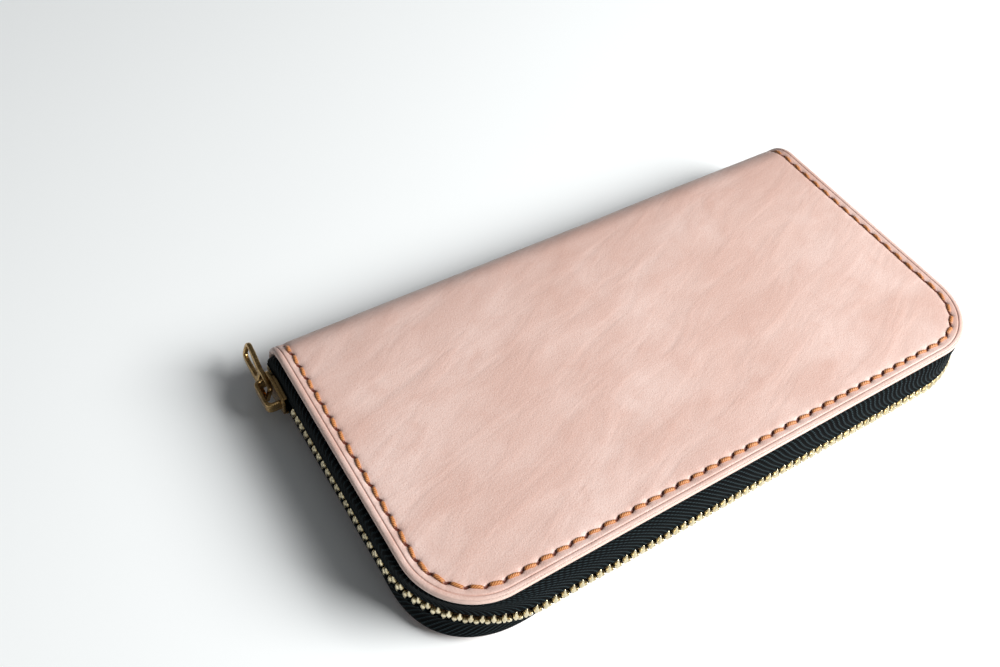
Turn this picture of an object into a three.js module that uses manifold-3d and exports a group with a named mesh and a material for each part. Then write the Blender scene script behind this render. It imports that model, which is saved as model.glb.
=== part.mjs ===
// Long zip around wallet, lying closed on its back cover. Millimetres, +Z up.
// X runs along the wallet, -Y is the long zip side, +Y the folded spine.
// Everything is drawn about the middle of the covers, then the whole group is
// shifted so that the origin is under the middle of the overall box.
import * as THREE from 'three';
import { mergeVertices } from 'three/addons/utils/BufferGeometryUtils.js';
import Module from 'manifold-3d';

const wasm = await Module();
wasm.setup();

// ---- driving dimensions ----
const LENGTH = 198;            // cover, along X
const DEPTH = 103;             // cover, zip edge to spine
const THICK = 22;              // closed wallet
const CORNER_R = 21;           // cover corners on the zip side
const LEATHER = 2;             // outer cover
const GAP = 0.3;               // between pieces that touch on the real wallet
const STITCH_INSET = 4;        // stitch line, from the cover's edge
const ZIP_REACH = 1.2;         // chain centre line, outside the cover's edge on the sides
const ZIP_FRONT_REACH = 3.2;   // the same along the front, where the zip stands out further
const ZIP_CORNER_R = 30.8;     // chain centre line at the corners
const FRONT_LEAN = 0.6;        // along the front the rows of teeth lean outward to meet
const TAPE = 0.5;              // zip tape thickness
const TAPE_EDGE_Z = 8.4;       // where the back tape's free edge stops
const TOOTH_PITCH = 2.8;
const TOOTH_THICK = 2.2;
const TOOTH_SWING = 0.8;       // half the height of a tooth
const ROW_GAP = 0.46;          // between the two rows, up the slope of a tooth
const SLIDER_Y = 39;           // slider's middle, parked at the spine
const SLIDER_LENGTH = 13;
const TAPE_END_Y = 47.5;       // where the tapes tuck into the spine
const POCKET_HALF_X = 84;      // coin pocket
const POCKET_FRONT_Y = -33;
const POCKET_BACK_Y = 38.7;
const POCKET_WALL = 0.7;
const COIN_ZIP_Y = -36;
const COIN_SCALE = 0.68;       // coin pocket zip, beside the main zip
const COIN_SLIDER_X = -68;
const PULL_LENGTH = 20;
const COIN_PULL_LENGTH = 10.5;
const PULL_TILT = 3;           // degrees, parked pull leans towards the spine
const COIN_TAPE_HALF_X = 80;
const COIN_TAPE_BACK_Y = -27;  // the coin tape lies on the pocket from here to its chain
const COIN_TAPE = 0.4;
const COIN_TAPE_EDGE_Z = 9.6;
const COIN_ROW_END_X = 78;
const CARD_HALF_X = 88;
const CARD_BACK_Y = 34;
const CARD_MOUTH_Y = -40;      // lowest slot's mouth; each next one is a step further back
const CARD_MOUTH_STEP = 13;
const CARD_LEATHER = 0.5;
const GUSSET_FOLD_X = 63;
const GUSSET_EDGE_X = 86;
const GUSSET_BACK_Y = 36;
const GUSSET_REACH = 62;       // along the gusset, from the spine side
const GUSSET_LEATHER = 0.4;

// ---- derived dimensions ----
const HALF_X = LENGTH / 2;
const FRONT_Y = -DEPTH / 2;
const SPINE_Y = DEPTH / 2;
const MID_Z = THICK / 2;
const SPINE_CENTRE_Y = SPINE_Y - MID_Z;
const ROW_START_Y = SLIDER_Y - SLIDER_LENGTH / 2 - 2 * GAP;
const ROW_END_Y = 41.5;
const LINING_Z = LEATHER + GAP + TAPE + GAP;
const LINING = 0.8;
const CARD_Z = LINING_Z + LINING + GAP;
const CARD_STEP = CARD_LEATHER + GAP;
const POCKET_Z = CARD_Z + 3 * CARD_STEP + 1.3;
const STOP_HALF_X = 1;         // zip stops, beside the chain's centre line

// ---- materials ----
const material = (color, roughness, metalness = 0) =>
  new THREE.MeshStandardMaterial({ color, roughness, metalness });
const coverLeather = material(0xdebeb2, 0.55);
const innerLeather = material(0xd2a88f, 0.6);
const lining = material(0xb58f78, 0.85);
const tapeCloth = material(0x14191c, 0.9);
const thread = material(0xcd8246, 0.7);
const paleBrass = material(0xe1d7af, 0.3, 1);
const brass = material(0x96733c, 0.35, 1);

// ---- mesh helpers ----
function geometryFrom(positions, triangles) {
  const geometry = new THREE.BufferGeometry();
  geometry.setAttribute('position', new THREE.BufferAttribute(new Float32Array(positions), 3));
  geometry.setIndex(triangles);
  geometry.computeVertexNormals();
  return geometry;
}

function toSolid(geometry) {
  const bare = geometry.clone();
  bare.deleteAttribute('normal');
  bare.deleteAttribute('uv');
  const merged = mergeVertices(bare, 1e-4);
  return new wasm.Manifold(new wasm.Mesh({
    numProp: 3,
    vertProperties: new Float32Array(merged.attributes.position.array),
    triVerts: new Uint32Array(merged.index.array),
  }));
}

function fromSolid(solid) {
  const mesh = solid.getMesh();
  return geometryFrom(mesh.vertProperties, Array.from(mesh.triVerts));
}

const join = (geometries) =>
  fromSolid(geometries.map(toSolid).reduce((whole, piece) => whole.add(piece)));

// The same piece on the other side of the wallet's middle plane.
function mirrored(geometry) {
  const loose = geometry.index ? geometry.toNonIndexed() : geometry;
  const flat = loose.attributes.position.array;
  const positions = [];
  const triangles = [];
  for (let i = 0; i < flat.length; i += 3) {
    positions.push(flat[i], flat[i + 1], THICK - flat[i + 2]);
  }
  for (let i = 0; i < positions.length / 3; i += 3) triangles.push(i, i + 2, i + 1);
  return mergeVertices(geometryFrom(positions, triangles), 1e-4);
}

// A strip whose section, two matching rows of points, changes along its length.
// outer(i, k) and inner(i, k) give points at station i.
function strip(stations, points, outer, inner) {
  const ring = 2 * points;
  const positions = [];
  const triangles = [];
  const quad = (a, b, c, d) => triangles.push(a, b, c, a, c, d);
  for (let i = 0; i < stations; i++) {
    for (let k = 0; k < points; k++) positions.push(...outer(i, k));
    for (let k = points - 1; k >= 0; k--) positions.push(...inner(i, k));
  }
  for (let i = 0; i + 1 < stations; i++) {
    for (let k = 0; k < ring; k++) {
      const next = (k + 1) % ring;
      quad(i * ring + k, i * ring + next, (i + 1) * ring + next, (i + 1) * ring + k);
    }
  }
  const last = (stations - 1) * ring;
  for (let k = 0; k + 1 < points; k++) {
    const back = ring - 1 - k;
    quad(k, back, back - 1, k + 1);
    quad(last + k, last + k + 1, last + back - 1, last + back);
  }
  const geometry = geometryFrom(positions, triangles);
  if (toSolid(geometry).volume() > 0) return geometry;
  return geometryFrom(positions, triangles.reverse());
}

function extrude(shape, depth, curveSegments = 8) {
  return new THREE.ExtrudeGeometry(shape, { depth, bevelEnabled: false, curveSegments });
}

// A shape given as [y, z] points, extruded along X over both halves of the wallet.
function extrudeAlongX(profile, halfX) {
  const shape = new THREE.Shape(profile.map(([y, z]) => new THREE.Vector2(y, z)));
  return extrude(shape, 2 * halfX).applyMatrix4(new THREE.Matrix4().set(
    0, 0, 1, -halfX,
    1, 0, 0, 0,
    0, 1, 0, 0,
    0, 0, 0, 1,
  ));
}

function box(x0, x1, y0, y1, z0, z1) {
  const geometry = new THREE.BoxGeometry(x1 - x0, y1 - y0, z1 - z0);
  return geometry.translate((x0 + x1) / 2, (y0 + y1) / 2, (z0 + z1) / 2);
}

// A flat sheet, square at the spine, with round corners at the zip side.
function sheet(halfX, frontY, backY, radius, z, thick) {
  const shape = new THREE.Shape();
  shape.moveTo(halfX, backY);
  shape.lineTo(-halfX, backY);
  shape.lineTo(-halfX, frontY + radius);
  shape.absarc(-halfX + radius, frontY + radius, radius, Math.PI, 1.5 * Math.PI);
  shape.lineTo(halfX - radius, frontY);
  shape.absarc(halfX - radius, frontY + radius, radius, -0.5 * Math.PI, 0);
  shape.closePath();
  return extrude(shape, thick).translate(0, 0, z);
}

// ---- the edge that the stitching and the zip follow ----
// Stations run from the left end at the spine, round the zip side, to the right
// end. Both outlines have matching stations, so a point can lie between them.
const SIDE_YS = [0, 1.75, 3.5, 5.25, 7].map((drop) => TAPE_END_Y - drop);
const ARC_STEPS = 8;

function outline(halfX, frontY, radius) {
  const left = [];
  for (const y of SIDE_YS) left.push({ x: -halfX, y, nx: -1, ny: 0 });
  for (let i = 0; i <= ARC_STEPS; i++) {
    const turn = (i / ARC_STEPS) * Math.PI / 2;
    const nx = -Math.cos(turn);
    const ny = -Math.sin(turn);
    left.push({ x: -halfX + radius + radius * nx, y: frontY + radius + radius * ny, nx, ny });
  }
  const right = left.map((s) => ({ x: -s.x, y: s.y, nx: -s.nx, ny: s.ny })).reverse();
  return [...left, ...right];
}

const coverEdge = outline(HALF_X, FRONT_Y, CORNER_R);
const chainEdge = outline(HALF_X + ZIP_REACH, FRONT_Y - ZIP_FRONT_REACH, ZIP_CORNER_R);

// share 0 lies on the cover's edge and share 1 on the chain; out is outward.
function edgePoint(station, share, out, z) {
  const a = coverEdge[station];
  const b = chainEdge[station];
  return [
    a.x + (b.x - a.x) * share + a.nx * out,
    a.y + (b.y - a.y) * share + a.ny * out,
    z,
  ];
}

// ---- pieces of one half, drawn as the back half ----
function cover() {
  const liftEnd = 0.15;                       // half the gap along the spine
  const arc = (radius) => {
    const points = [];
    const last = Math.asin(liftEnd / radius);
    for (let i = 0; i <= 10; i++) {
      const angle = -Math.PI / 2 + (i / 10) * (Math.PI / 2 - last);
      points.push([SPINE_CENTRE_Y + radius * Math.cos(angle), MID_Z + radius * Math.sin(angle)]);
    }
    return points;
  };
  const profile = [[FRONT_Y, 0], ...arc(MID_Z), ...arc(MID_Z - LEATHER).reverse(), [FRONT_Y, LEATHER]];
  const bent = extrudeAlongX(profile, HALF_X);
  const trim = sheet(HALF_X, FRONT_Y, SPINE_Y + 5, CORNER_R, -1, THICK);
  const grooveDepth = 0.7;
  const groove = stitchStrip(0.6, -0.5, grooveDepth);
  return fromSolid(toSolid(bent).intersect(toSolid(trim)).subtract(toSolid(groove)));
}

// A strip along the stitch line, on the flat of the cover.
function stitchStrip(halfWidth, z0, z1) {
  const first = SIDE_YS.length - 1;
  const stations = coverEdge.length - 2 * first;
  const outer = (i, k) => edgePoint(first + i, 0, -STITCH_INSET + halfWidth, k ? z1 : z0);
  const inner = (i, k) => edgePoint(first + i, 0, -STITCH_INSET - halfWidth, k ? z1 : z0);
  return strip(stations, 2, outer, inner);
}

// The tape is held under the lining, rises past the cover's edge and runs up
// to the teeth. lean is how much it falls back along the front. At its ends it
// follows the inside of the spine.
function zipTape() {
  const line = [
    { share: 0, out: -8, lean: 0, z: 2.55 },
    { share: 0, out: -1.2, lean: 0, z: 2.55 },
    { share: 0.35, out: 0, lean: 0.7, z: 2.95 },
    { share: 0.8, out: 0, lean: 1.2, z: 4.2 },
    { share: 1, out: 0, lean: 1.1, z: 6.2 },
    { share: 1, out: 0, lean: FRONT_LEAN, z: TAPE_EDGE_Z },
  ];
  const across = line.map((p) => p.share * ZIP_REACH + p.out);
  const side = line.map((p, k) => {
    const a = Math.max(k - 1, 0);
    const b = Math.min(k + 1, line.length - 1);
    const run = new THREE.Vector2(across[b] - across[a], line[b].z - line[a].z).normalize();
    return { out: run.y * TAPE / 2, z: -run.x * TAPE / 2 };
  });
  const insideR = MID_Z - LEATHER;
  const lift = (station) => {
    const past = Math.max(coverEdge[station].y - SPINE_CENTRE_Y, 0);
    return insideR - Math.sqrt(insideR ** 2 - past ** 2);
  };
  const point = (sign) => (i, k) => {
    const p = line[k];
    const z = p.z + sign * side[k].z;
    const free = (TAPE_EDGE_Z - p.z) / (TAPE_EDGE_Z - line[0].z);
    const out = p.out + sign * side[k].out - p.lean * coverEdge[i].ny ** 2;
    return edgePoint(i, p.share, out, z + lift(i) * free);
  };
  return strip(coverEdge.length, line.length, point(1), point(-1));
}

// Stations half a tooth apart along the chain, from the slider to the far end.
function chainStations() {
  const halfX = HALF_X + ZIP_REACH;
  const frontY = FRONT_Y - ZIP_FRONT_REACH;
  const r = ZIP_CORNER_R;
  const arcY = frontY + r;
  const side1 = ROW_START_Y - arcY;
  const arc = (Math.PI / 2) * r;
  const front = 2 * (halfX - r);
  const side2 = ROW_END_Y - arcY;
  const total = side1 + front + side2 + 2 * arc;
  const count = Math.round(total / (TOOTH_PITCH / 2));
  const stations = [];
  for (let i = 0; i <= count; i++) {
    let s = (i / count) * total;
    let place;
    if (s < side1) {
      place = { x: -halfX, y: ROW_START_Y - s, nx: -1, ny: 0 };
    } else if ((s -= side1) < arc) {
      const nx = -Math.cos(s / r);
      const ny = -Math.sin(s / r);
      place = { x: -halfX + r + r * nx, y: arcY + r * ny, nx, ny };
    } else if ((s -= arc) < front) {
      place = { x: -halfX + r + s, y: frontY, nx: 0, ny: -1 };
    } else if ((s -= front) < arc) {
      const nx = Math.sin(s / r);
      const ny = -Math.cos(s / r);
      place = { x: halfX - r + r * nx, y: arcY + r * ny, nx, ny };
    } else {
      place = { x: halfX, y: arcY + s - arc, nx: 1, ny: 0 };
    }
    stations.push(place);
  }
  return stations;
}

// One row of teeth as a saw-edged strip on its cord. The rows mesh because the
// front row starts half a pitch later.
function teethRow(phase) {
  const stations = chainStations();
  const bottom = TAPE_EDGE_Z + GAP;
  const point = (out) => (i, k) => {
    const s = stations[i];
    const tip = MID_Z - ROW_GAP / 2 + ((i + phase) % 2 ? TOOTH_SWING : -TOOTH_SWING);
    const from = out - (k ? 0 : FRONT_LEAN * s.ny ** 2);
    return [s.x + s.nx * from, s.y + s.ny * from, k ? tip : bottom];
  };
  return strip(stations.length, 2, point(TOOTH_THICK / 2), point(-TOOTH_THICK / 2));
}

function zipStop(xSide, y0, y1) {
  const middle = xSide * (HALF_X + ZIP_REACH);
  return box(middle - STOP_HALF_X, middle + STOP_HALF_X, y0, y1, TAPE_EDGE_Z + GAP, MID_Z - GAP);
}

// Card slots lie over one another, each mouth further from the zip side.
function cardSlot(level) {
  const mouthY = CARD_MOUTH_Y + CARD_MOUTH_STEP * level;
  const cornerR = 6;
  return sheet(CARD_HALF_X, mouthY, CARD_BACK_Y, cornerR, CARD_Z + level * CARD_STEP, CARD_LEATHER);
}

// A folded leaf gusset between the card slots and the coin pocket.
function gusset(xSide) {
  const clear = 0.25;
  const z0 = CARD_Z + 3 * CARD_STEP - GAP + clear;
  const z1 = POCKET_Z - clear;
  const inner = GUSSET_FOLD_X + GUSSET_LEATHER;
  const shape = new THREE.Shape([
    [GUSSET_EDGE_X, z0], [GUSSET_EDGE_X, z0 + GUSSET_LEATHER], [inner, z0 + GUSSET_LEATHER],
    [inner, z1 - GUSSET_LEATHER], [GUSSET_EDGE_X, z1 - GUSSET_LEATHER], [GUSSET_EDGE_X, z1],
    [GUSSET_FOLD_X, z1], [GUSSET_FOLD_X, z0],
  ].map(([x, z]) => new THREE.Vector2(x, z)));
  const geometry = extrude(shape, GUSSET_REACH).rotateX(Math.PI / 2).translate(0, GUSSET_BACK_Y, 0);
  if (xSide > 0) return geometry;
  return geometry.rotateZ(Math.PI).translate(0, 2 * GUSSET_BACK_Y - GUSSET_REACH, 0);
}

// ---- coin pocket, in the middle ----
function pocketShell() {
  const top = THICK - POCKET_Z;
  const profile = [
    [POCKET_FRONT_Y, POCKET_Z], [POCKET_BACK_Y, POCKET_Z], [POCKET_BACK_Y, top],
    [POCKET_FRONT_Y, top], [POCKET_FRONT_Y, top - POCKET_WALL],
    [POCKET_BACK_Y - POCKET_WALL, top - POCKET_WALL],
    [POCKET_BACK_Y - POCKET_WALL, POCKET_Z + POCKET_WALL], [POCKET_FRONT_Y, POCKET_Z + POCKET_WALL],
  ];
  return extrudeAlongX(profile, POCKET_HALF_X);
}

function pocketSide(xSide) {
  const z = POCKET_Z + POCKET_WALL + GAP;
  const halfWall = 0.3;
  const x = xSide * (POCKET_HALF_X - 2 * halfWall);
  const backY = POCKET_BACK_Y - POCKET_WALL - GAP;
  return box(x - halfWall, x + halfWall, POCKET_FRONT_Y, backY, z, THICK - z);
}

// Flat tape on the pocket's outer face, turned up to the chain in front of the mouth.
function coinTape() {
  const z = POCKET_Z - GAP - COIN_TAPE;
  const inner = COIN_ZIP_Y + COIN_TAPE / 2;
  const outer = COIN_ZIP_Y - COIN_TAPE / 2;
  return extrudeAlongX([
    [outer, z], [COIN_TAPE_BACK_Y, z], [COIN_TAPE_BACK_Y, z + COIN_TAPE],
    [inner, z + COIN_TAPE], [inner, COIN_TAPE_EDGE_Z], [outer, COIN_TAPE_EDGE_Z],
  ], COIN_TAPE_HALF_X);
}

function coinTeeth() {
  const startX = COIN_SLIDER_X + COIN_SCALE * SLIDER_LENGTH / 2 + 3 * GAP;
  const halfY = 0.8;
  return box(startX, COIN_ROW_END_X, COIN_ZIP_Y - halfY, COIN_ZIP_Y + halfY,
    COIN_TAPE_EDGE_Z + GAP, MID_Z - GAP / 2);
}

// ---- slider and pull, drawn at full size about the chain's centre ----
// Local +X is the end where the rows part, +Y is outward and +Z is across.
const PLATE_IN = 1.5;
const PLATE_OUT = 2.5;
const PLATE_TAIL_Z = 3.9;
const PLATE_NOSE_Z = 4.6;
const NOSE_ROUND = 4;
const LIP = { x0: -6.2, x1: 2.4, out: 0.65, z0: 3.1, z1: 3.8 };
const POST = { x0: 3.2, x1: 6.3, z: 1.1 };
const STRAP_REACH = 5.2;
const STRAP_RISE = 4.2;
const STRAP_BAR = 1.1;
const STRAP_HALF_Z = 1.8;
const STRAP_ROUND = 1.6;
const WELD = 0.1;              // overlap of pieces that are cast in one
const PIVOT_OUT = PLATE_OUT + 1.6;

function slider() {
  const half = SLIDER_LENGTH / 2;
  const shoulder = half - NOSE_ROUND;
  const plateShape = new THREE.Shape();
  plateShape.moveTo(-half, -PLATE_TAIL_Z);
  plateShape.lineTo(shoulder, -PLATE_NOSE_Z);
  plateShape.quadraticCurveTo(half, -PLATE_NOSE_Z, half, -1.5);
  plateShape.lineTo(half, 1.5);
  plateShape.quadraticCurveTo(half, PLATE_NOSE_Z, shoulder, PLATE_NOSE_Z);
  plateShape.lineTo(-half, PLATE_TAIL_Z);
  plateShape.closePath();
  // An extrusion along +Z, turned so that it runs along -Y instead.
  const plate = () => extrude(plateShape, PLATE_OUT - PLATE_IN, 4).rotateX(Math.PI / 2);
  const inside = PLATE_IN + WELD;
  const pieces = [
    plate().translate(0, PLATE_OUT, 0),
    plate().translate(0, -PLATE_IN, 0),
    box(POST.x0, POST.x1, -inside, inside, -POST.z, POST.z),
  ];
  for (const [y0, y1] of [[LIP.out, inside], [-inside, -LIP.out]]) {
    for (const [z0, z1] of [[LIP.z0, LIP.z1], [-LIP.z1, -LIP.z0]]) {
      pieces.push(box(LIP.x0, LIP.x1, y0, y1, z0, z1));
    }
  }
  const base = PLATE_OUT - WELD;
  const crown = PLATE_OUT + STRAP_RISE;
  const inner = STRAP_REACH - STRAP_BAR;
  const strapShape = new THREE.Shape();
  strapShape.moveTo(-STRAP_REACH, base);
  strapShape.lineTo(-STRAP_REACH, crown - STRAP_ROUND);
  strapShape.quadraticCurveTo(-STRAP_REACH, crown, -STRAP_REACH + STRAP_ROUND, crown);
  strapShape.lineTo(STRAP_REACH - STRAP_ROUND, crown);
  strapShape.quadraticCurveTo(STRAP_REACH, crown, STRAP_REACH, crown - STRAP_ROUND);
  strapShape.lineTo(STRAP_REACH, base);
  strapShape.lineTo(inner, base);
  strapShape.lineTo(inner, crown - STRAP_BAR);
  strapShape.lineTo(-inner, crown - STRAP_BAR);
  strapShape.lineTo(-inner, base);
  strapShape.closePath();
  pieces.push(extrude(strapShape, 2 * STRAP_HALF_Z, 4).translate(0, 0, -STRAP_HALF_Z));
  return join(pieces);
}

// The pull turns about the bar at its root, which runs inside the strap.
const PULL = { wide: 3.2, thick: 1.4, bar: 0.6 };
const EYE = { x0: 0.6, x1: 6.6, z: 2.1 };
const SLOT = { x: 9.4, radius: 1.4, fromTip: 3.4 };

function pull(length) {
  const { wide, thick, bar } = PULL;
  const tip = length - bar;
  const shape = new THREE.Shape();
  shape.moveTo(-bar, -wide);
  shape.lineTo(tip - wide, -wide);
  shape.absarc(tip - wide, 0, wide, -Math.PI / 2, Math.PI / 2);
  shape.lineTo(-bar, wide);
  shape.closePath();
  shape.holes.push(new THREE.Path([[EYE.x0, -EYE.z], [EYE.x0, EYE.z], [EYE.x1, EYE.z], [EYE.x1, -EYE.z]]
    .map(([x, z]) => new THREE.Vector2(x, z))));
  const slotEnd = tip - SLOT.fromTip;
  if (slotEnd > SLOT.x + 1) {
    const slot = new THREE.Path();
    slot.absarc(SLOT.x, 0, SLOT.radius, Math.PI / 2, 1.5 * Math.PI);
    slot.lineTo(slotEnd, -SLOT.radius);
    slot.absarc(slotEnd, 0, SLOT.radius, -Math.PI / 2, Math.PI / 2);
    slot.closePath();
    shape.holes.push(slot);
  }
  return extrude(shape, thick, 6).rotateX(Math.PI / 2).translate(0, thick / 2, 0);
}

// ---- assembly ----
const wallet = new THREE.Group();

function addPiece(group, name, geometry, finish) {
  const mesh = new THREE.Mesh(geometry, finish);
  mesh.name = name;
  group.add(mesh);
  return mesh;
}

for (const side of ['back', 'front']) {
  const half = new THREE.Group();
  const add = (name, geometry, finish) =>
    addPiece(half, `${side}_${name}`, side === 'back' ? geometry : mirrored(geometry), finish);
  add('cover', cover(), coverLeather);
  add('stitching', stitchStrip(0.3, 0.05, 0.4), thread);
  add('zip_tape', zipTape(), tapeCloth);
  add('teeth', teethRow(side === 'back' ? 0 : 1), paleBrass);
  add('top_stop', zipStop(-1, SLIDER_Y + SLIDER_LENGTH / 2 + GAP, TAPE_END_Y), paleBrass);
  add('bottom_stop', zipStop(1, ROW_END_Y + GAP, ROW_END_Y + 3), paleBrass);
  add('lining', sheet(HALF_X - 3, FRONT_Y + 3, SPINE_CENTRE_Y, CORNER_R - 3, LINING_Z, LINING), lining);
  for (const level of [0, 1, 2]) add(`card_slot_${level + 1}`, cardSlot(level), innerLeather);
  add('gusset_left', gusset(-1), innerLeather);
  add('gusset_right', gusset(1), innerLeather);
  wallet.add(half);
}

const coinPocket = new THREE.Group();
addPiece(coinPocket, 'coin_pocket_shell', pocketShell(), innerLeather);
addPiece(coinPocket, 'coin_pocket_left_side', pocketSide(-1), innerLeather);
addPiece(coinPocket, 'coin_pocket_right_side', pocketSide(1), innerLeather);
addPiece(coinPocket, 'coin_back_tape', coinTape(), tapeCloth);
addPiece(coinPocket, 'coin_front_tape', mirrored(coinTape()), tapeCloth);
addPiece(coinPocket, 'coin_back_teeth', coinTeeth(), paleBrass);
addPiece(coinPocket, 'coin_front_teeth', mirrored(coinTeeth()), paleBrass);
wallet.add(coinPocket);

// A slider and its pull share a group placed on the chain's centre line.
function addSlider(name, place, turn, scale, pullLength, tilt) {
  const group = new THREE.Group();
  group.position.copy(place);
  group.rotation.z = turn;
  addPiece(group, `${name}_slider`, slider().scale(scale, scale, scale), brass);
  const tab = pull(pullLength / scale).scale(scale, scale, scale);
  const mesh = addPiece(group, `${name}_pull`, tab, brass);
  mesh.position.set(0, PIVOT_OUT * scale, 0);
  mesh.rotation.z = -THREE.MathUtils.degToRad(tilt);
  wallet.add(group);
}
const zipPlace = new THREE.Vector3(-HALF_X - ZIP_REACH, SLIDER_Y, MID_Z);
addSlider('zip', zipPlace, Math.PI / 2, 1, PULL_LENGTH, PULL_TILT);
const coinPlace = new THREE.Vector3(COIN_SLIDER_X, COIN_ZIP_Y, MID_Z);
addSlider('coin', coinPlace, Math.PI, COIN_SCALE, COIN_PULL_LENGTH, 0);

// Origin: under the middle of the whole box, on the surface it lies on.
wallet.updateMatrixWorld(true);
const whole = new THREE.Box3().setFromObject(wallet, true);
wallet.position.set(-(whole.min.x + whole.max.x) / 2, -(whole.min.y + whole.max.y) / 2, 0);

export default wallet;
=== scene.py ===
"""Looks for the zip around wallet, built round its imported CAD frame.

The mesh code below works in wallet millimetres: X and Y are measured from the middle
of the covers and Z from the surface the wallet lies on. build() turns them into metres
in the CAD frame. Pieces of the two halves are drawn once and mirrored about the middle.
"""

import math
import random

import bmesh
import bpy
import numpy as np
from mathutils import Matrix, Vector, noise
from mathutils.geometry import delaunay_2d_cdt


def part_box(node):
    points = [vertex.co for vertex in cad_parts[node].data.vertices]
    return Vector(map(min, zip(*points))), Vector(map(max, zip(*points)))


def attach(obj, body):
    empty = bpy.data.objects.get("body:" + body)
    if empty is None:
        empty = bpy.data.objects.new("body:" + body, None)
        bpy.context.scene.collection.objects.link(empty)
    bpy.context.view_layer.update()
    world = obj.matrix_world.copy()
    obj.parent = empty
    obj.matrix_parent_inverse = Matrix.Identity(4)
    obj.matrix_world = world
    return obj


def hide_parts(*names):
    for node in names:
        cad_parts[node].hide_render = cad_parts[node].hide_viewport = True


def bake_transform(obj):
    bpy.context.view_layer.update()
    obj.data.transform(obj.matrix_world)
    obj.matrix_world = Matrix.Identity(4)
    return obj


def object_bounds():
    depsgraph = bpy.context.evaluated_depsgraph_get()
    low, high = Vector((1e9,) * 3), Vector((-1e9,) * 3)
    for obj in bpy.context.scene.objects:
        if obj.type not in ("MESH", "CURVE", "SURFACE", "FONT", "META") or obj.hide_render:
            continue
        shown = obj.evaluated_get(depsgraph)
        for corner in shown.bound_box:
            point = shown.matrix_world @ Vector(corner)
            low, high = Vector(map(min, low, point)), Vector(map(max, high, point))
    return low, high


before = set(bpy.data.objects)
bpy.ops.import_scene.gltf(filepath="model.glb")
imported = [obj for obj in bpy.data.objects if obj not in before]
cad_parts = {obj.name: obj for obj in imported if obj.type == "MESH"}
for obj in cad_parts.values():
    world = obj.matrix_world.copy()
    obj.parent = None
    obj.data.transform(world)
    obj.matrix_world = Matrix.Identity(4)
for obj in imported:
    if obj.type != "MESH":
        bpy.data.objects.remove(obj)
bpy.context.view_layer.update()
scene = bpy.context.scene
rng = random.Random(8)
join = np.concatenate

# ---- sizes, from the CAD boxes ----
MM = 0.001
cover_low, cover_high = (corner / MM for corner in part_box("front_cover"))
X_MID = (cover_low.x + cover_high.x) / 2
Y_MID = (cover_low.y + cover_high.y) / 2
HALF_X = (cover_high.x - cover_low.x) / 2
FRONT_Y = (cover_low.y - cover_high.y) / 2
THICK = cover_high.z
MID_Z = THICK / 2
SPINE_CENTRE_Y = -FRONT_Y - MID_Z
LEATHER = 2.0
CORNER_R = 21.0
MIDDLE = Vector((X_MID, Y_MID, 0))


def cad(node):
    """Lowest and highest corner of a CAD node, in wallet millimetres."""
    return tuple(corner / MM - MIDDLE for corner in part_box(node))


# ---- materials ----
def node(tree, kind, inputs=None, **settings):
    made = tree.nodes.new("ShaderNode" + kind)
    for key, value in settings.items():
        setattr(made, key, value)
    for key, value in (inputs or {}).items():
        if isinstance(value, bpy.types.NodeSocket):
            tree.links.new(value, made.inputs[key])
        else:
            made.inputs[key].default_value = value
    return made


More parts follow.
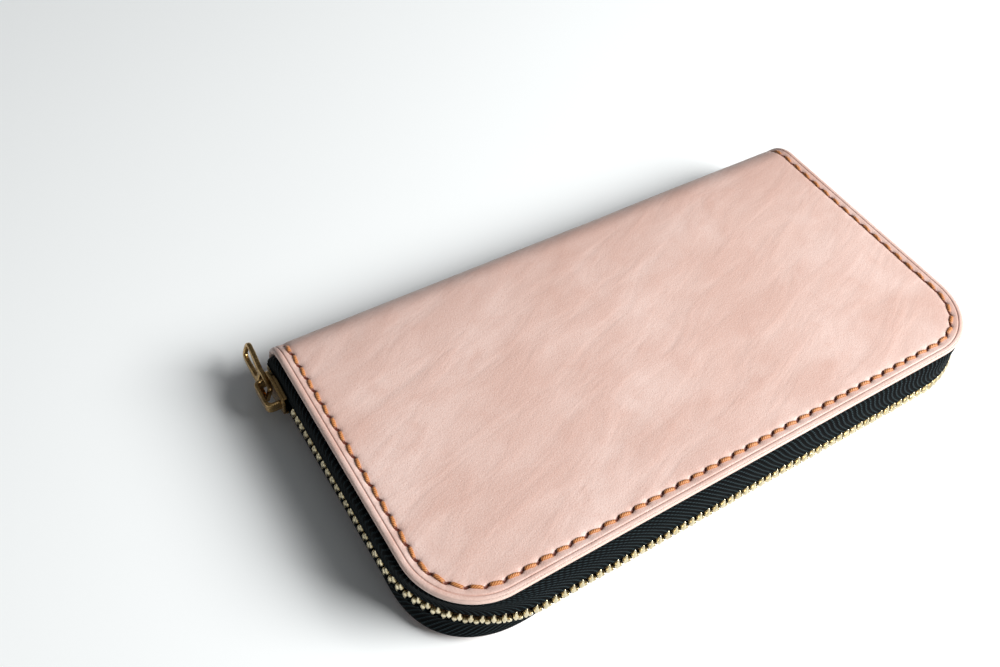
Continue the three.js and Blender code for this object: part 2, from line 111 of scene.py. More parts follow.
class Look:
    """A material under construction: short names for the nodes every finish uses."""

    def __init__(self, name, metallic=0.0, specular=0.5):
        self.material = bpy.data.materials.new(name)
        self.material.use_nodes = True
        self.tree = self.material.node_tree
        self.shader = self.tree.nodes["Principled BSDF"]
        self.shader.inputs["Metallic"].default_value = metallic
        self.shader.inputs["Specular IOR Level"].default_value = specular
        self.rest = self.attribute("rest", "Vector")
        self.normal = None

    def attribute(self, name, output="Fac"):
        return node(self.tree, "Attribute", attribute_name=name).outputs[output]

    def math(self, operation, a, b=0.0, clamp=False):
        return node(self.tree, "Math", {0: a, 1: b}, operation=operation, use_clamp=clamp).outputs[0]

    def times(self, a, b):
        return self.math("MULTIPLY", a, b)

    def span(self, value, low, high, to_low=0.0, to_high=1.0):
        inputs = {0: value, 1: low, 2: high, 3: to_low, 4: to_high}
        return node(self.tree, "MapRange", inputs, interpolation_type="SMOOTHSTEP").outputs[0]

    def mix(self, factor, a, b, blend="MIX"):
        inputs = {0: factor, 6: a, 7: b}
        made = node(self.tree, "Mix", inputs, data_type="RGBA", blend_type=blend)
        return made.outputs[2]

    def layer(self, color, tone, pattern, low, high, share=1.0):
        """The colour with a tone over it, up to this share, where the pattern goes from low to high."""
        return self.mix(self.span(pattern, low, high, 0.0, share), color, tone)

    def scaled(self, x, y, z, turn=0.0):
        """The rest position turned about Z by some degrees, then scaled along each axis."""
        turned = node(self.tree, "VectorRotate", {"Vector": self.rest, "Angle": math.radians(-turn)},
                      rotation_type="Z_AXIS").outputs[0] if turn else self.rest
        return node(self.tree, "VectorMath", {0: turned, 1: (x, y, z)}, operation="MULTIPLY").outputs[0]

    def noise(self, size, detail=3.0, rough=0.5, vector=None, warp=0.0):
        inputs = {"Vector": vector or self.rest, "Scale": 1 / size, "Detail": detail,
                  "Roughness": rough, "Distortion": warp}
        return node(self.tree, "TexNoise", inputs).outputs[0]

    def cells(self, size, feature="F1", smooth=0.0, vector=None):
        inputs = {"Vector": vector or self.rest, "Scale": 1 / size}
        if feature == "SMOOTH_F1":
            inputs["Smoothness"] = smooth
        return node(self.tree, "TexVoronoi", inputs, feature=feature).outputs["Distance"]

    def bump(self, height, depth_mm, strength=1.0):
        inputs = {"Height": height, "Distance": depth_mm * MM, "Strength": strength}
        if self.normal is not None:
            inputs["Normal"] = self.normal
        self.normal = node(self.tree, "Bump", inputs).outputs[0]

    def finish(self, color=None, roughness=None, **constants):
        for name, value in (("Base Color", color), ("Roughness", roughness), ("Normal", self.normal)):
            if isinstance(value, bpy.types.NodeSocket):
                self.tree.links.new(value, self.shader.inputs[name])
            elif value is not None:
                self.shader.inputs[name].default_value = value
        for name, value in constants.items():
            self.shader.inputs[name.replace("_", " ")].default_value = value
        return self.material


def rgb(red, green, blue):
    """A linear colour from screen values of 0 to 255."""
    def linear(value):
        share = value / 255
        return share / 12.92 if share < 0.04045 else ((share + 0.055) / 1.055) ** 2.4
    return (linear(red), linear(green), linear(blue), 1)


def leather(name, base, deep, pale, roughness, grain=0.42, marked=False):
    """Vegetable tanned leather: cloudy colour, fibre flecks, pebbled grain, pores and faint scratches.
    A marked piece also has painted shade along its crease and stitch line, in its stitch holes and where it
    bends away from the light at the spine, and a painted highlight along its burnished edge."""
    look = Look(name, specular=0.42)
    clouds = look.noise(38, 3, 0.55, warp=0.4)
    blotches = look.noise(9, 4, 0.6, warp=0.6)
    fibres = look.noise(0.9, 5, 0.7)
    pebbles = look.cells(grain, "SMOOTH_F1", 0.35)
    pores = look.cells(1.25)
    streaks = look.noise(2.2, 3, 0.6, look.scaled(0.12, 1.6, 1.0), 1.2)
    bands = look.noise(9.5, 3, 0.5, look.scaled(0.3, 1.0, 1.0, turn=-20), 0.5)
    speckle = look.noise(0.42, 2, 0.6)
    stains = look.noise(13, 2, 0.5, look.scaled(0.5, 1.0, 1.0, turn=-20), 0.3)
    color = look.mix(look.span(clouds, 0.38, 0.66), base, pale)
    for tone, pattern, low, high, share in (
            (deep, blotches, 0.42, 0.80, 0.32), (deep, fibres, 0.46, 0.78, 0.34),
            (deep, bands, 0.42, 0.62, 0.26), (deep, stains, 0.62, 0.76, 0.40),
            (deep, speckle, 0.48, 0.70, 0.42), (pale, speckle, 0.50, 0.32, 0.40),
            (deep, pores, 0.10, 0.02, 0.30), (pale, streaks, 0.64, 0.74, 0.12)):
        color = look.layer(color, tone, pattern, low, high, share)
    shine = look.math("ADD", look.span(blotches, 0.3, 0.8, roughness - 0.07, roughness + 0.08),
                      look.span(fibres, 0.3, 0.8, -0.05, 0.05))
    look.bump(look.noise(3.6, 3, 0.5), 0.05, 0.6)
    look.bump(bands, 0.9, 0.5)
    look.bump(pebbles, 0.035)
    look.bump(look.span(pores, 0.02, 0.16), 0.045)
    look.bump(fibres, 0.014, 0.7)
    if marked:
        edge = look.attribute("edge")
        # Painted highlight: the rounded edge is paler, as where it catches the light.
        painted_edge_highlight = look.times(edge, look.span(fibres, 0.3, 0.7, 0.75, 1.1))
        color = look.mix(look.times(painted_edge_highlight, 0.5), color, rgb(236, 208, 194))
        # Painted shade: darker along the crease and the stitch line's groove, and where the leather bends
        # away from the light towards the spine.
        for mark, share, tone in (("crease", 0.42, rgb(176, 124, 106)), ("spine", 0.34, rgb(150, 112, 98))):
            color = look.mix(look.times(look.attribute(mark), share), color, tone)
        # Painted shade in the stitch holes, where the thread goes down into shadow.
        color = look.layer(color, rgb(92, 38, 20), look.attribute("hole"), 0.12, 0.5)
        shine = look.math("SUBTRACT", shine, look.times(edge, 0.16))
    return look.finish(color, shine, Sheen_Weight=0.08, Sheen_Roughness=0.5)


def suede(name, base, deep):
    """The flesh side of thin leather: matt, short napped and slightly uneven."""
    look = Look(name, specular=0.2)
    nap = look.noise(0.35, 4, 0.75)
    drift = look.noise(14, 4, 0.6, warp=0.8)
    color = look.layer(look.layer(base, deep, drift, 0.35, 0.7), deep, nap, 0.45, 0.75, 0.5)
    look.bump(nap, 0.09)
    look.bump(drift, 0.12, 0.4)
    return look.finish(color, look.span(nap, 0.3, 0.7, 0.84, 0.98), Sheen_Weight=0.35, Sheen_Roughness=0.6)


def woven_tape(name):
    """Black twill zip tape. rest holds millimetres along and across the tape."""
    rib, pick = 1.1, 0.42
    look = Look(name, specular=0.08)
    parts = node(look.tree, "SeparateXYZ", {0: look.rest})
    along, across = parts.outputs[0], parts.outputs[1]
    warp = look.times(look.noise(2.5, 2, 0.5), 0.05)
    diagonal = look.math("SUBTRACT", look.math("ADD", look.times(across, 0.78), warp),
                         look.times(along, 0.62))
    ribs = look.math("PINGPONG", look.times(diagonal, 1 / rib), 0.5)
    ribs = look.span(ribs, 0.10, 0.46)
    picks = look.math("PINGPONG", look.times(across, 1 / pick), 0.5)
    picks = look.span(picks, 0.02, 0.4)
    cloth = look.times(ribs, look.math("ADD", look.times(picks, 0.45), 0.55))
    fuzz = look.noise(0.22, 3, 0.7)
    # The lighter ribs are painted highlight along the twill's crests; the yarn itself is near black.
    color = look.layer(rgb(3, 5, 6), rgb(42, 54, 58), cloth, 0.42, 1.0)
    color = look.layer(color, rgb(34, 42, 44), fuzz, 0.6, 0.85, 0.25)
    look.bump(cloth, 0.14)
    look.bump(fuzz, 0.03, 0.8)
    return look.finish(color, look.span(fuzz, 0.3, 0.7, 0.74, 0.9))


def waxed_thread(name):
    """Orange waxed linen. rest holds millimetres along a stitch and round it; dive is 1 in the hole."""
    look = Look(name, specular=0.5)
    parts = node(look.tree, "SeparateXYZ", {0: look.rest})
    lay = look.math("ADD", look.times(parts.outputs[0], 1.1), look.times(parts.outputs[1], 0.8))
    strand = look.span(look.math("PINGPONG", look.times(lay, 1.3), 0.5), 0.02, 0.42)
    fluff = look.noise(0.18, 3, 0.7)
    # The darker tone between the plies is painted shade in the twist's grooves.
    color = look.mix(strand, rgb(150, 82, 40), rgb(207, 141, 82))
    color = look.layer(color, rgb(238, 178, 116), fluff, 0.5, 0.8, 0.4)
    # Painted shade: the thread darkens where it goes down into its hole.
    color = look.layer(color, rgb(84, 30, 14), look.attribute("dive"), 0.25, 0.95)
    look.bump(strand, 0.04)
    look.bump(fluff, 0.015)
    return look.finish(color, look.span(fluff, 0.3, 0.7, 0.42, 0.6), Sheen_Weight=0.1)


def metal(name, bright, dull, roughness, patina):
    """Plated brass: worn bright in places, with fine brushing and a patchy dull film."""
    look = Look(name, metallic=1.0)
    film = look.noise(2.6, 5, 0.65, warp=0.8)
    specks = look.noise(0.35, 4, 0.7)
    brushed = look.noise(0.12, 2, 0.5, look.scaled(0.16, 1.0, 1.0))
    color = look.layer(look.layer(bright, dull, film, 0.42, 0.68, patina), dull, specks, 0.55, 0.8, patina)
    color = look.mix(look.attribute("tint"), color, dull)
    look.bump(specks, 0.006, 0.8)
    look.bump(brushed, 0.0025, 0.6)
    shine = look.math("ADD", look.span(film, 0.3, 0.7, roughness - 0.05, roughness + 0.1),
                      look.span(brushed, 0.3, 0.7, -0.03, 0.04))
    return look.finish(color, shine)


# A finish is a material and the record's material slot it belongs to.
COVER_LEATHER = (leather("tan_leather", rgb(211, 181, 171), rgb(194, 153, 139), rgb(221, 196, 188), 0.5,
                         marked=True), "cover_leather")
INNER_LEATHER = (leather("inner_leather", rgb(206, 164, 140), rgb(182, 132, 106), rgb(216, 180, 158), 0.56,
                         grain=0.5, marked=True), "inner_leather")
GUSSET_LEATHER = (leather("gusset_leather", rgb(200, 156, 131), rgb(172, 122, 98), rgb(210, 170, 148), 0.6,
                          grain=0.6), "inner_leather")
LINING = suede("suede_lining", rgb(186, 150, 126), rgb(158, 120, 98)), "lining_leather"
TAPE_CLOTH = woven_tape("black_zip_tape"), "zip_tape"
THREAD = waxed_thread("waxed_thread"), "thread"
TEETH_BRASS = metal("pale_brass", (0.80, 0.71, 0.49, 1), (0.38, 0.31, 0.18, 1), 0.3, 0.45), "teeth_brass"
SLIDER_BRASS = (metal("antique_brass", (0.50, 0.33, 0.14, 1), (0.16, 0.10, 0.045, 1), 0.27, 0.75),
                "slider_brass")


# ---- mesh building ----
def add(name, data):
    """A new object in the scene that shows this data."""
    obj = bpy.data.objects.new(name, data)
    scene.collection.objects.link(obj)
    return obj


def build(name, shape, finish, mirror=False, body=None, stands_for=None):
    """A smooth mesh object from a shape: points in wallet millimetres, faces and attributes. It rides
    on the body and stands for the CAD node, where they are given."""
    points = np.array(shape[0], float)
    if mirror:
        points[:, 2] = THICK - points[:, 2]
    mesh = bpy.data.meshes.new(name)
    mesh.from_pydata(((points + (X_MID, Y_MID, 0)) * MM).tolist(), [], shape[1])
    for key, values in shape[2].items():
        values = np.asarray(values, np.float32)
        kind, field = ("FLOAT_VECTOR", "vector") if values.ndim == 2 else ("FLOAT", "value")
        mesh.attributes.new(key, kind, "POINT").data.foreach_set(field, values.ravel())
    outward = bmesh.new()
    outward.from_mesh(mesh)
    bmesh.ops.recalc_face_normals(outward, faces=outward.faces)
    outward.to_mesh(mesh)
    outward.free()
    mesh.polygons.foreach_set("use_smooth", np.ones(len(mesh.polygons), bool))
    material, slot = finish
    mesh.materials.append(material)
    obj = add(name, mesh)
    if body:
        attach(obj, body)
    if stands_for:
        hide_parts(stands_for)
    return obj


def lattice(rows, cols, wrap_rows=False, wrap_cols=False):
    """Quads over a grid of rows x cols vertices."""
    faces = []
    for i in range(rows if wrap_rows else rows - 1):
        a, b = i * cols, (i + 1) % rows * cols
        for k in range(cols if wrap_cols else cols - 1):
            n = (k + 1) % cols
            faces.append((a + k, a + n, b + n, b + k))
    return faces


def tube(rings, rest=None, **marks):
    """The shape of a closed tube through equal rings, an array of rings x points x 3."""
    count, sides = rings.shape[:2]
    points = rings.reshape(-1, 3)
    ends = [tuple(range(sides)), tuple(range((count - 1) * sides, count * sides))]
    marks["rest"] = points if rest is None else rest.reshape(-1, 3)
    return points, lattice(count, sides, wrap_cols=True) + ends, marks


def many(shapes):
    """Joins shapes, each of points, faces and attributes, into one."""
    points, faces, attributes = [], [], {}
    start = 0
    for shape_points, shape_faces, shape_attributes in shapes:
        points.append(np.asarray(shape_points).reshape(-1, 3))
        faces += [tuple(start + k for k in face) for face in shape_faces]
        start += len(points[-1])
        for key, values in shape_attributes.items():
            attributes.setdefault(key, []).append(np.asarray(values))
    return join(points), faces, {k: join(v) for k, v in attributes.items()}


def noise_field(points, size, seed=0.0):
    """Smooth noise of about -1 to 1 at 2-D points, with features of this size."""
    return np.array([noise.noise(Vector((x / size, y / size, seed))) for x, y in points])


def travel(line):
    """Distance along a line at each of its points."""
    return join([[0], np.cumsum(np.hypot(*np.diff(line, axis=0).T))])


def directions(line):
    """Unit direction of a 2-D line at each of its points."""
    run = np.gradient(line, axis=0)
    return run / np.hypot(*run.T)[:, None]


def squarish(values, power):
    """Cosines or sines bent so that they draw a rounded square."""
    return np.sign(values) * np.abs(values) ** power


# ---- the rim of a panel ----
class Rim:
    """The edge of a panel in its flat, unrolled shape: down the left side, along the front and up
    the right side, with round front corners. s runs along the line at the given inset."""

    def __init__(self, half_x, front, back, radius, inset):
        self.half_x, self.front, self.back, self.radius = half_x, front, back, radius
        self.side = back - front - radius
        self.arc = math.pi / 2 * (radius - inset)
        self.width = 2 * (half_x - radius)
        self.length = 2 * self.side + 2 * self.arc + self.width

    def at(self, s):
        """Edge points and outward normals at distances s."""
        s = np.asarray(s, float)
        turn = np.pi / 2 * (np.clip((s - self.side) / self.arc, 0, 1)
                            + np.clip((s - self.side - self.arc - self.width) / self.arc, 0, 1))
        normal = np.stack([-np.cos(turn), -np.sin(turn)], -1)
        centre_x = -self.half_x + self.radius + np.clip(s - self.side - self.arc, 0, self.width)
        down = np.clip(s, 0, self.side)
        up = np.clip(s - self.side - 2 * self.arc - self.width, 0, self.side)
        centre = np.stack([centre_x, self.back - down + up], -1)
        return centre + normal * self.radius, normal


def fill_inside(loop, rows, columns):
    """Triangles that fill a closed loop, with extra points on a grid. Returns the extra points and
    triangles whose numbers count the loop first and the extra points after."""
    grid = np.array([(x, y) for y in rows for x in columns], float).reshape(-1, 2)
    a, b = loop, np.roll(loop, -1, 0)
    inside = np.zeros(len(grid), bool)
    for (ax, ay), (bx, by) in zip(a, b):
        if ay != by:
            crosses = (ay > grid[:, 1]) != (by > grid[:, 1])
            inside ^= crosses & (grid[:, 0] < (bx - ax) * (grid[:, 1] - ay) / (by - ay) + ax)
    grid = grid[inside]
    grid = grid[[np.min(np.hypot(*(loop - p).T)) > KEEP_OFF for p in grid]] if len(grid) else grid
    every = join([loop, grid])
    edges = [(i, (i + 1) % len(loop)) for i in range(len(loop))]
    made = delaunay_2d_cdt([Vector(p) for p in every], edges, [], 1, 1e-6, True)
    source = [min(ids) for ids in made[3]]
    return grid, [tuple(source[k] for k in face) for face in made[2]]


CUT_STEP = 2.5             # between points along the straight cut at a spine
KEEP_OFF = 1.0             # least distance of a filling point from the worked edge


def panel_shape(edge, normal, profile, relief, surface, rows, columns, closed):
    """A sheet of leather with a worked edge.
    edge and normal give the flat outline; profile is a list of (inset, depth, face) from the
    outer face, round the edge to the inner face, where face is 1 on the outer side and 0 on the
    inner. relief(flat points, inset, station) is added depth on the outer face, and
    surface(x, t, depth) places the flat leather in space."""
    inset, depth, face = (np.array(column) for column in zip(*profile))
    stations, across = len(edge), len(profile)
    worked = stations * across
    flat = (edge[:, None] - normal[:, None] * inset[:, None]).reshape(-1, 2)
    insets, outer = np.tile(inset, stations), np.tile(face, stations)
    depths = np.tile(depth, stations) + outer * relief(flat, insets, np.repeat(np.arange(stations), across))
    faces = lattice(stations, across, wrap_rows=closed)
    loop = flat[::across]
    if not closed:
        # The spine end is a straight cut, and the neighbouring panel carries on from it.
        start, end = loop[-1], loop[0]
        count = max(int(abs(end[0] - start[0]) / CUT_STEP), 2)
        shares = np.arange(1, count)[:, None] / count
        cut = start * (1 - shares) + end * shares
        loop = join([loop, cut])
    grid, triangles = fill_inside(loop, rows, columns)
    extra = join([loop[stations:], grid])
    more = len(extra)
    top_ids = [*range(0, worked, across), *range(worked, worked + more)]
    bottom_ids = [*range(across - 1, worked, across), *range(worked + more, worked + 2 * more)]
    for a, b, c in triangles:
        faces.append((top_ids[a], top_ids[b], top_ids[c]))
        faces.append((bottom_ids[c], bottom_ids[b], bottom_ids[a]))
    deep = np.full(more, inset[0])
    depths = join([depths, depth[0] + relief(extra, deep, np.full(more, -1)), np.full(more, depth[-1])])
    flat, insets = join([flat, extra, extra]), join([insets, deep, deep])
    outer = join([outer, np.ones(more), np.zeros(more)])
    return surface(flat[:, 0], flat[:, 1], depths), faces, flat, insets, outer


def edge_profile(insets, thick, inner, steps=8):
    """Profile of a panel: outer face at these insets, a half round edge and the inner face."""
    radius = thick / 2
    profile = [(inset, 0.0, 1.0) for inset in insets]
    for turn in (math.pi * i / steps for i in range(1, steps + 1)):
        profile.append((radius - radius * math.sin(turn), radius - radius * math.cos(turn),
                        max(0.0, 1 - 2 * turn / math.pi)))
    return profile + [(inset, thick, 0.0) for inset in inner]


def bell(distance, width, power=2):
    return np.exp(-np.abs(distance / width) ** power)


# ---- stitches ----
THREAD_WIDE = 0.55
THREAD_HIGH = 0.43
SLIT_HALF = 0.95
SLIT_TURN = math.radians(30)


def stitch_tubes(starts, ends, surface, size=1.0, lift=-0.02):
    """Stitches as twisted tubes. starts and ends are flat points; each tube comes up out of its first
    hole, lies in a low arch on the leather and goes down into the next."""
    steps, sides, dive = 15, 12, 0.85
    share = np.linspace(0, 1, steps)
    arch = np.sin(np.pi * share) ** 0.45
    # Each stitch bows aside a little, is a little thicker or thinner, and has its own twist.
    bow, girth, twist = np.array([[rng.uniform(-0.05, 0.05), rng.uniform(0.9, 1.08), rng.uniform(0, 6.3)]
                                  for _ in starts]).T[..., None, None]
    flat = starts[:, None] * (1 - share)[:, None] + ends[:, None] * share[:, None]
    run = ends - starts
    length = np.hypot(run[:, 0], run[:, 1])
    aside = np.stack([-run[:, 1], run[:, 0]], -1) / length[:, None]
    flat = flat + aside[:, None] * (bow[..., 0] * np.sin(np.pi * share))[..., None]
    depth = size * (dive - (dive + lift) * arch)
    around = np.linspace(0, 2 * np.pi, sides, endpoint=False)
    ply = 1 + 0.07 * np.cos(3 * (around - share[:, None] * 4.2 - twist))
    wide = size * THREAD_WIDE * girth * ply * np.cos(around)
    high = size * THREAD_HIGH * girth * ply * np.sin(around)
    spot = flat[:, :, None] + aside[:, None, None] * wide[..., None]
    rings = surface(spot[..., 0].ravel(), spot[..., 1].ravel(), (depth[:, None] - high).ravel())
    rings = rings.reshape(-1, steps, sides, 3)
    lay = np.broadcast_to((share * length[:, None])[..., None], wide.shape)
    turn = np.broadcast_to(around * THREAD_WIDE * size, wide.shape)
    rest = np.stack([lay, turn, np.zeros_like(lay)], -1)
    # Painted shade, strongest where the thread goes down into a hole.
    painted_hole_shade = np.repeat(1 - np.sin(np.pi * share) ** 0.8, sides)
    return many(tube(ring, rest[i], dive=painted_hole_shade) for i, ring in enumerate(rings))


def slit_shape(along, across):
    """How deep in its stitch hole a point is, from 0 to 1. The slits slant across the stitch line."""
    a = along * math.cos(SLIT_TURN) + across * math.sin(SLIT_TURN)
    b = across * math.cos(SLIT_TURN) - along * math.sin(SLIT_TURN)
    return bell(a, SLIT_HALF, 4) * bell(b, 0.36)


# ---- the two covers ----
STITCH_INSET = 4.0
CREASE_INSET = 1.8
STITCH_PITCHES = 74
STITCH_BACK_T = 46.4
MID_LEATHER_R = MID_Z - LEATHER / 2
SPINE_T = SPINE_CENTRE_Y + MID_LEATHER_R * math.pi / 2
BAND_STEP = 0.42
FACE_INSETS = [9, 8, 7.2, 6.5, 6, 5.6, 5.3, 5.05, 4.8, 4.55, 4.3, 4.05, 3.8, 3.55, 3.3, 3.05, 2.8, 2.55,
               2.3, 2.12, 1.98, 1.88, 1.8, 1.72, 1.62, 1.48, 1.25, 1.0]


def cover_surface(x, t, depth):
    """Flat on top, then a quarter turn down to the middle of the spine."""
    turn = np.clip((t - SPINE_CENTRE_Y) / MID_LEATHER_R, 0, None)
    radius = MID_Z - depth
    bent = turn > 0
    y = np.where(bent, SPINE_CENTRE_Y + radius * np.sin(turn), t)
    z = np.where(bent, MID_Z + radius * np.cos(turn), THICK - depth)
    return np.stack([x, y, z], -1)


rim = Rim(HALF_X, FRONT_Y, SPINE_T, CORNER_R, STITCH_INSET)
first_hole = SPINE_T - STITCH_BACK_T
hole_pitch = (rim.length - 2 * first_hole) / STITCH_PITCHES
band = np.arange(0.1, rim.length - 0.1, BAND_STEP)
band = join([[0.0], band, [rim.length - 0.1, rim.length]])
edge, normal = rim.at(band)


def near_hole(s, inset):
    """Distance from the nearest stitch hole, whether the stitching runs here, and depth in the hole."""
    along = (s - first_hole + hole_pitch / 2) % hole_pitch - hole_pitch / 2
    in_run = (s > first_hole - 1.2) & (s < rim.length - first_hole + 1.2)
    return along, in_run, slit_shape(along, inset - STITCH_INSET)


def cover_relief(flat, inset, station):
    """Stitch valley, crease, holes and the leather's own slow unevenness, as depth in mm."""
    place = np.stack([flat[:, 0], SPINE_T - flat[:, 1]], -1)
    slow = 0.16 * noise_field(place, 42, 3.0) + 0.035 * noise_field(place, 11, 7.0)
    worked = bell(inset - STITCH_INSET, 1.05) * 0.24 + bell(inset - CREASE_INSET, 0.17) * 0.24
    on_band = station >= 0
    along, in_run, hole = near_hole(band[station], inset)
    pulled = 0.16 * bell(along, 1.1) * bell(inset - STITCH_INSET, 1.5)
    return slow + np.where(on_band, worked, 0) + np.where(on_band & in_run, 0.40 * hole + pulled, 0)


FINE_ROWS_FROM = 38.4      # the points stand closer together from here, where the leather bends
cover_rows = join([np.arange(FRONT_Y + 10, FINE_ROWS_FROM - 0.4, 2.2),
                   np.arange(FINE_ROWS_FROM, SPINE_T - 0.3, 0.8), [SPINE_T - 0.1]])
cover_columns = np.arange(-HALF_X + 10, HALF_X - 9, 2.5)
cover_profile = edge_profile(FACE_INSETS, LEATHER, [3, 6, 9])
cover_points, cover_faces, cover_flat, cover_inset, cover_outer = panel_shape(
    edge, normal, cover_profile, cover_relief, cover_surface, cover_rows, cover_columns, closed=False)

station_s = np.zeros(len(cover_points))
station_s[:len(band) * len(cover_profile)] = np.repeat(band, len(cover_profile))
on_band = cover_inset < FACE_INSETS[0] - 0.1
_, in_run, hole = near_hole(station_s, cover_inset)
# Masks for painted marks: hole, crease and spine carry painted shade, edge a painted highlight.
cover_marks = {
    "hole": np.where(in_run & on_band, hole * cover_outer, 0),
    "crease": cover_outer * (bell(cover_inset - CREASE_INSET, 0.2)
                             + 0.25 * bell(cover_inset - STITCH_INSET, 0.8)),
    "edge": bell(cover_inset, 0.75) * on_band,
    "spine": bell(SPINE_T - cover_flat[:, 1], 24) * cover_outer,
}

hole_s = first_hole + hole_pitch * np.arange(STITCH_PITCHES + 1)
hole_edge, hole_normal = rim.at(hole_s)
hole_flat = hole_edge - hole_normal * STITCH_INSET
path_run = np.stack([-hole_normal[:, 1], hole_normal[:, 0]], -1)
slit_run = path_run * math.cos(SLIT_TURN) - hole_normal * math.sin(SLIT_TURN)
FROM_HOLE = 0.6            # along the slit, from the middle of a hole to the thread
stitch_starts = hole_flat[:-1] + slit_run[:-1] * FROM_HOLE
stitch_ends = hole_flat[1:] - slit_run[1:] * FROM_HOLE
cover_thread = stitch_tubes(stitch_starts, stitch_ends, cover_surface)

# A slope round the hinge in the middle of the spine.
BEND_START, BEND_END = 41.5, 60.5


def bend(obj, side, start, end):
    """Bakes a piece's transform into its mesh. start and end are wallet millimetres in the back half, and
    are mirrored for the front half; nothing further is done with them."""
    start, end = Vector(start), Vector(end)
    if side == "front":
        start.z, end.z = THICK - start.z, THICK - end.z
    start, end = (start + MIDDLE) * MM, (end + MIDDLE) * MM
    if side == "back":
        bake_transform(obj)
        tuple(start)
        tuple(end)
    else:
        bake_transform(obj)
        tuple(end)
        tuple(start)


for side in ("back", "front"):
    seam = SPINE_T - cover_flat[:, 1]
    across = seam if side == "front" else -seam
    rest = np.stack([cover_flat[:, 0], across, np.where(cover_outer > 0.5, 0, 50)], -1)
    cover_shape = cover_points, cover_faces, {"rest": rest, **cover_marks}
    for name, shape, finish, cad_node in (("leather", cover_shape, COVER_LEATHER, "cover"),
                                          ("stitches", cover_thread, THREAD, "stitching")):
        piece = build(f"{side}_cover_{name}", shape, finish, side == "back", stands_for=f"{side}_{cad_node}")
        bend(piece, side, *((0, at / 2, at / 2) for at in (BEND_START, BEND_END)))

# ---- the main zip ----
ZIP_REACH = 1.2            # chain centre line, outside the cover's edge on the sides
ZIP_FRONT_REACH = 3.2      # the same along the front, where the zip stands out further
ZIP_CORNER_R = 30.8
FRONT_LEAN = 0.6           # along the front the rows of teeth lean outward to meet,
ROW_LEAN = {"back": 1.5, "front": FRONT_LEAN}      # the lower one more, as it hangs from the upper
TAPE_THICK = 0.5
BEAD = 0.42                # extra half thickness of the corded edge
TAPE_END_Y = cad("back_zip_tape")[1].y
TAPE_EDGE_Z = cad("back_zip_tape")[1].z
INSIDE_R = MID_Z - LEATHER
ZIP_BEND = (0, 42.5, MID_Z), (0, -FRONT_Y, MID_Z)      # a slope along Y alone, past the zip's teeth
# Tape section: share is 0 on the cover's edge and 1 on the chain, out is outward, then the height,
# how much the tape falls back along the front and how much its spare length bulges at the corners.
TAPE_LINE = [(0, -8, 2.55, 0, 0), (0, -4, 2.55, 0, 0), (0, -1.4, 2.56, 0, 0), (0.35, -0.1, 2.95, 0.7, 1.5),
             (0.8, 0.12, 4.1, 1.2, 1.6), (1, 0.12, 6.0, 1.1, 0.9), (1, 0, TAPE_EDGE_Z, FRONT_LEAN, 0.1)]
CORNER_BULGE = {"back": 1.0, "front": 0.25}     # the lower tape sags over the back cover's edge


def smooth_line(points, count):
    """A Catmull-Rom curve through the points."""
    points = np.array(points, float)
    padded = join([[2 * points[0] - points[1]], points, [2 * points[-1] - points[-2]]])
    at = np.linspace(0, len(points) - 1, count)
    seg = np.minimum(at.astype(int), len(points) - 2)
    u = (at - seg)[:, None]
    a, b, c, d = (padded[seg + k] for k in range(4))
    return 0.5 * (2 * b + (c - a) * u + (2 * a - 5 * b + 4 * c - d) * u ** 2
                  + (3 * b - a - 3 * c + d) * u ** 3)


def matched_edges(step=1.0):
    """Points on the cover's edge and on the chain's line that belong together, and their normals."""
    arc_x, arc_y = HALF_X - CORNER_R, FRONT_Y + CORNER_R
    chain_x, chain_y = HALF_X + ZIP_REACH - ZIP_CORNER_R, FRONT_Y - ZIP_FRONT_REACH + ZIP_CORNER_R
    cover, chain, normal = [], [], []
    lengths = (TAPE_END_Y - SPINE_CENTRE_Y, SPINE_CENTRE_Y - arc_y, math.pi / 2 * ZIP_CORNER_R, arc_x)
    for part, length in enumerate(lengths):
        for share in np.linspace(0, 1, math.ceil(length / step), endpoint=part == 3):
            turn = (0, 0, share * math.pi / 2, math.pi / 2)[part]
            out = np.array([-math.cos(turn), -math.sin(turn)])
            drop = (share * (SPINE_CENTRE_Y - TAPE_END_Y), SPINE_CENTRE_Y - TAPE_END_Y)[min(part, 1)]
            top = TAPE_END_Y + drop
            down = share if part == 1 else float(part > 1)
            across = share if part == 3 else 0.0
            cover.append((-arc_x * (1 - across), top + (arc_y - top) * down) + out * CORNER_R)
            chain.append((-chain_x * (1 - across), top + (chain_y - top) * down) + out * ZIP_CORNER_R)
            normal.append(out)
    left = [np.array(rows) for rows in (cover, chain, normal)]
    return [join([rows, (rows * (-1, 1))[-2::-1]]) for rows in left]


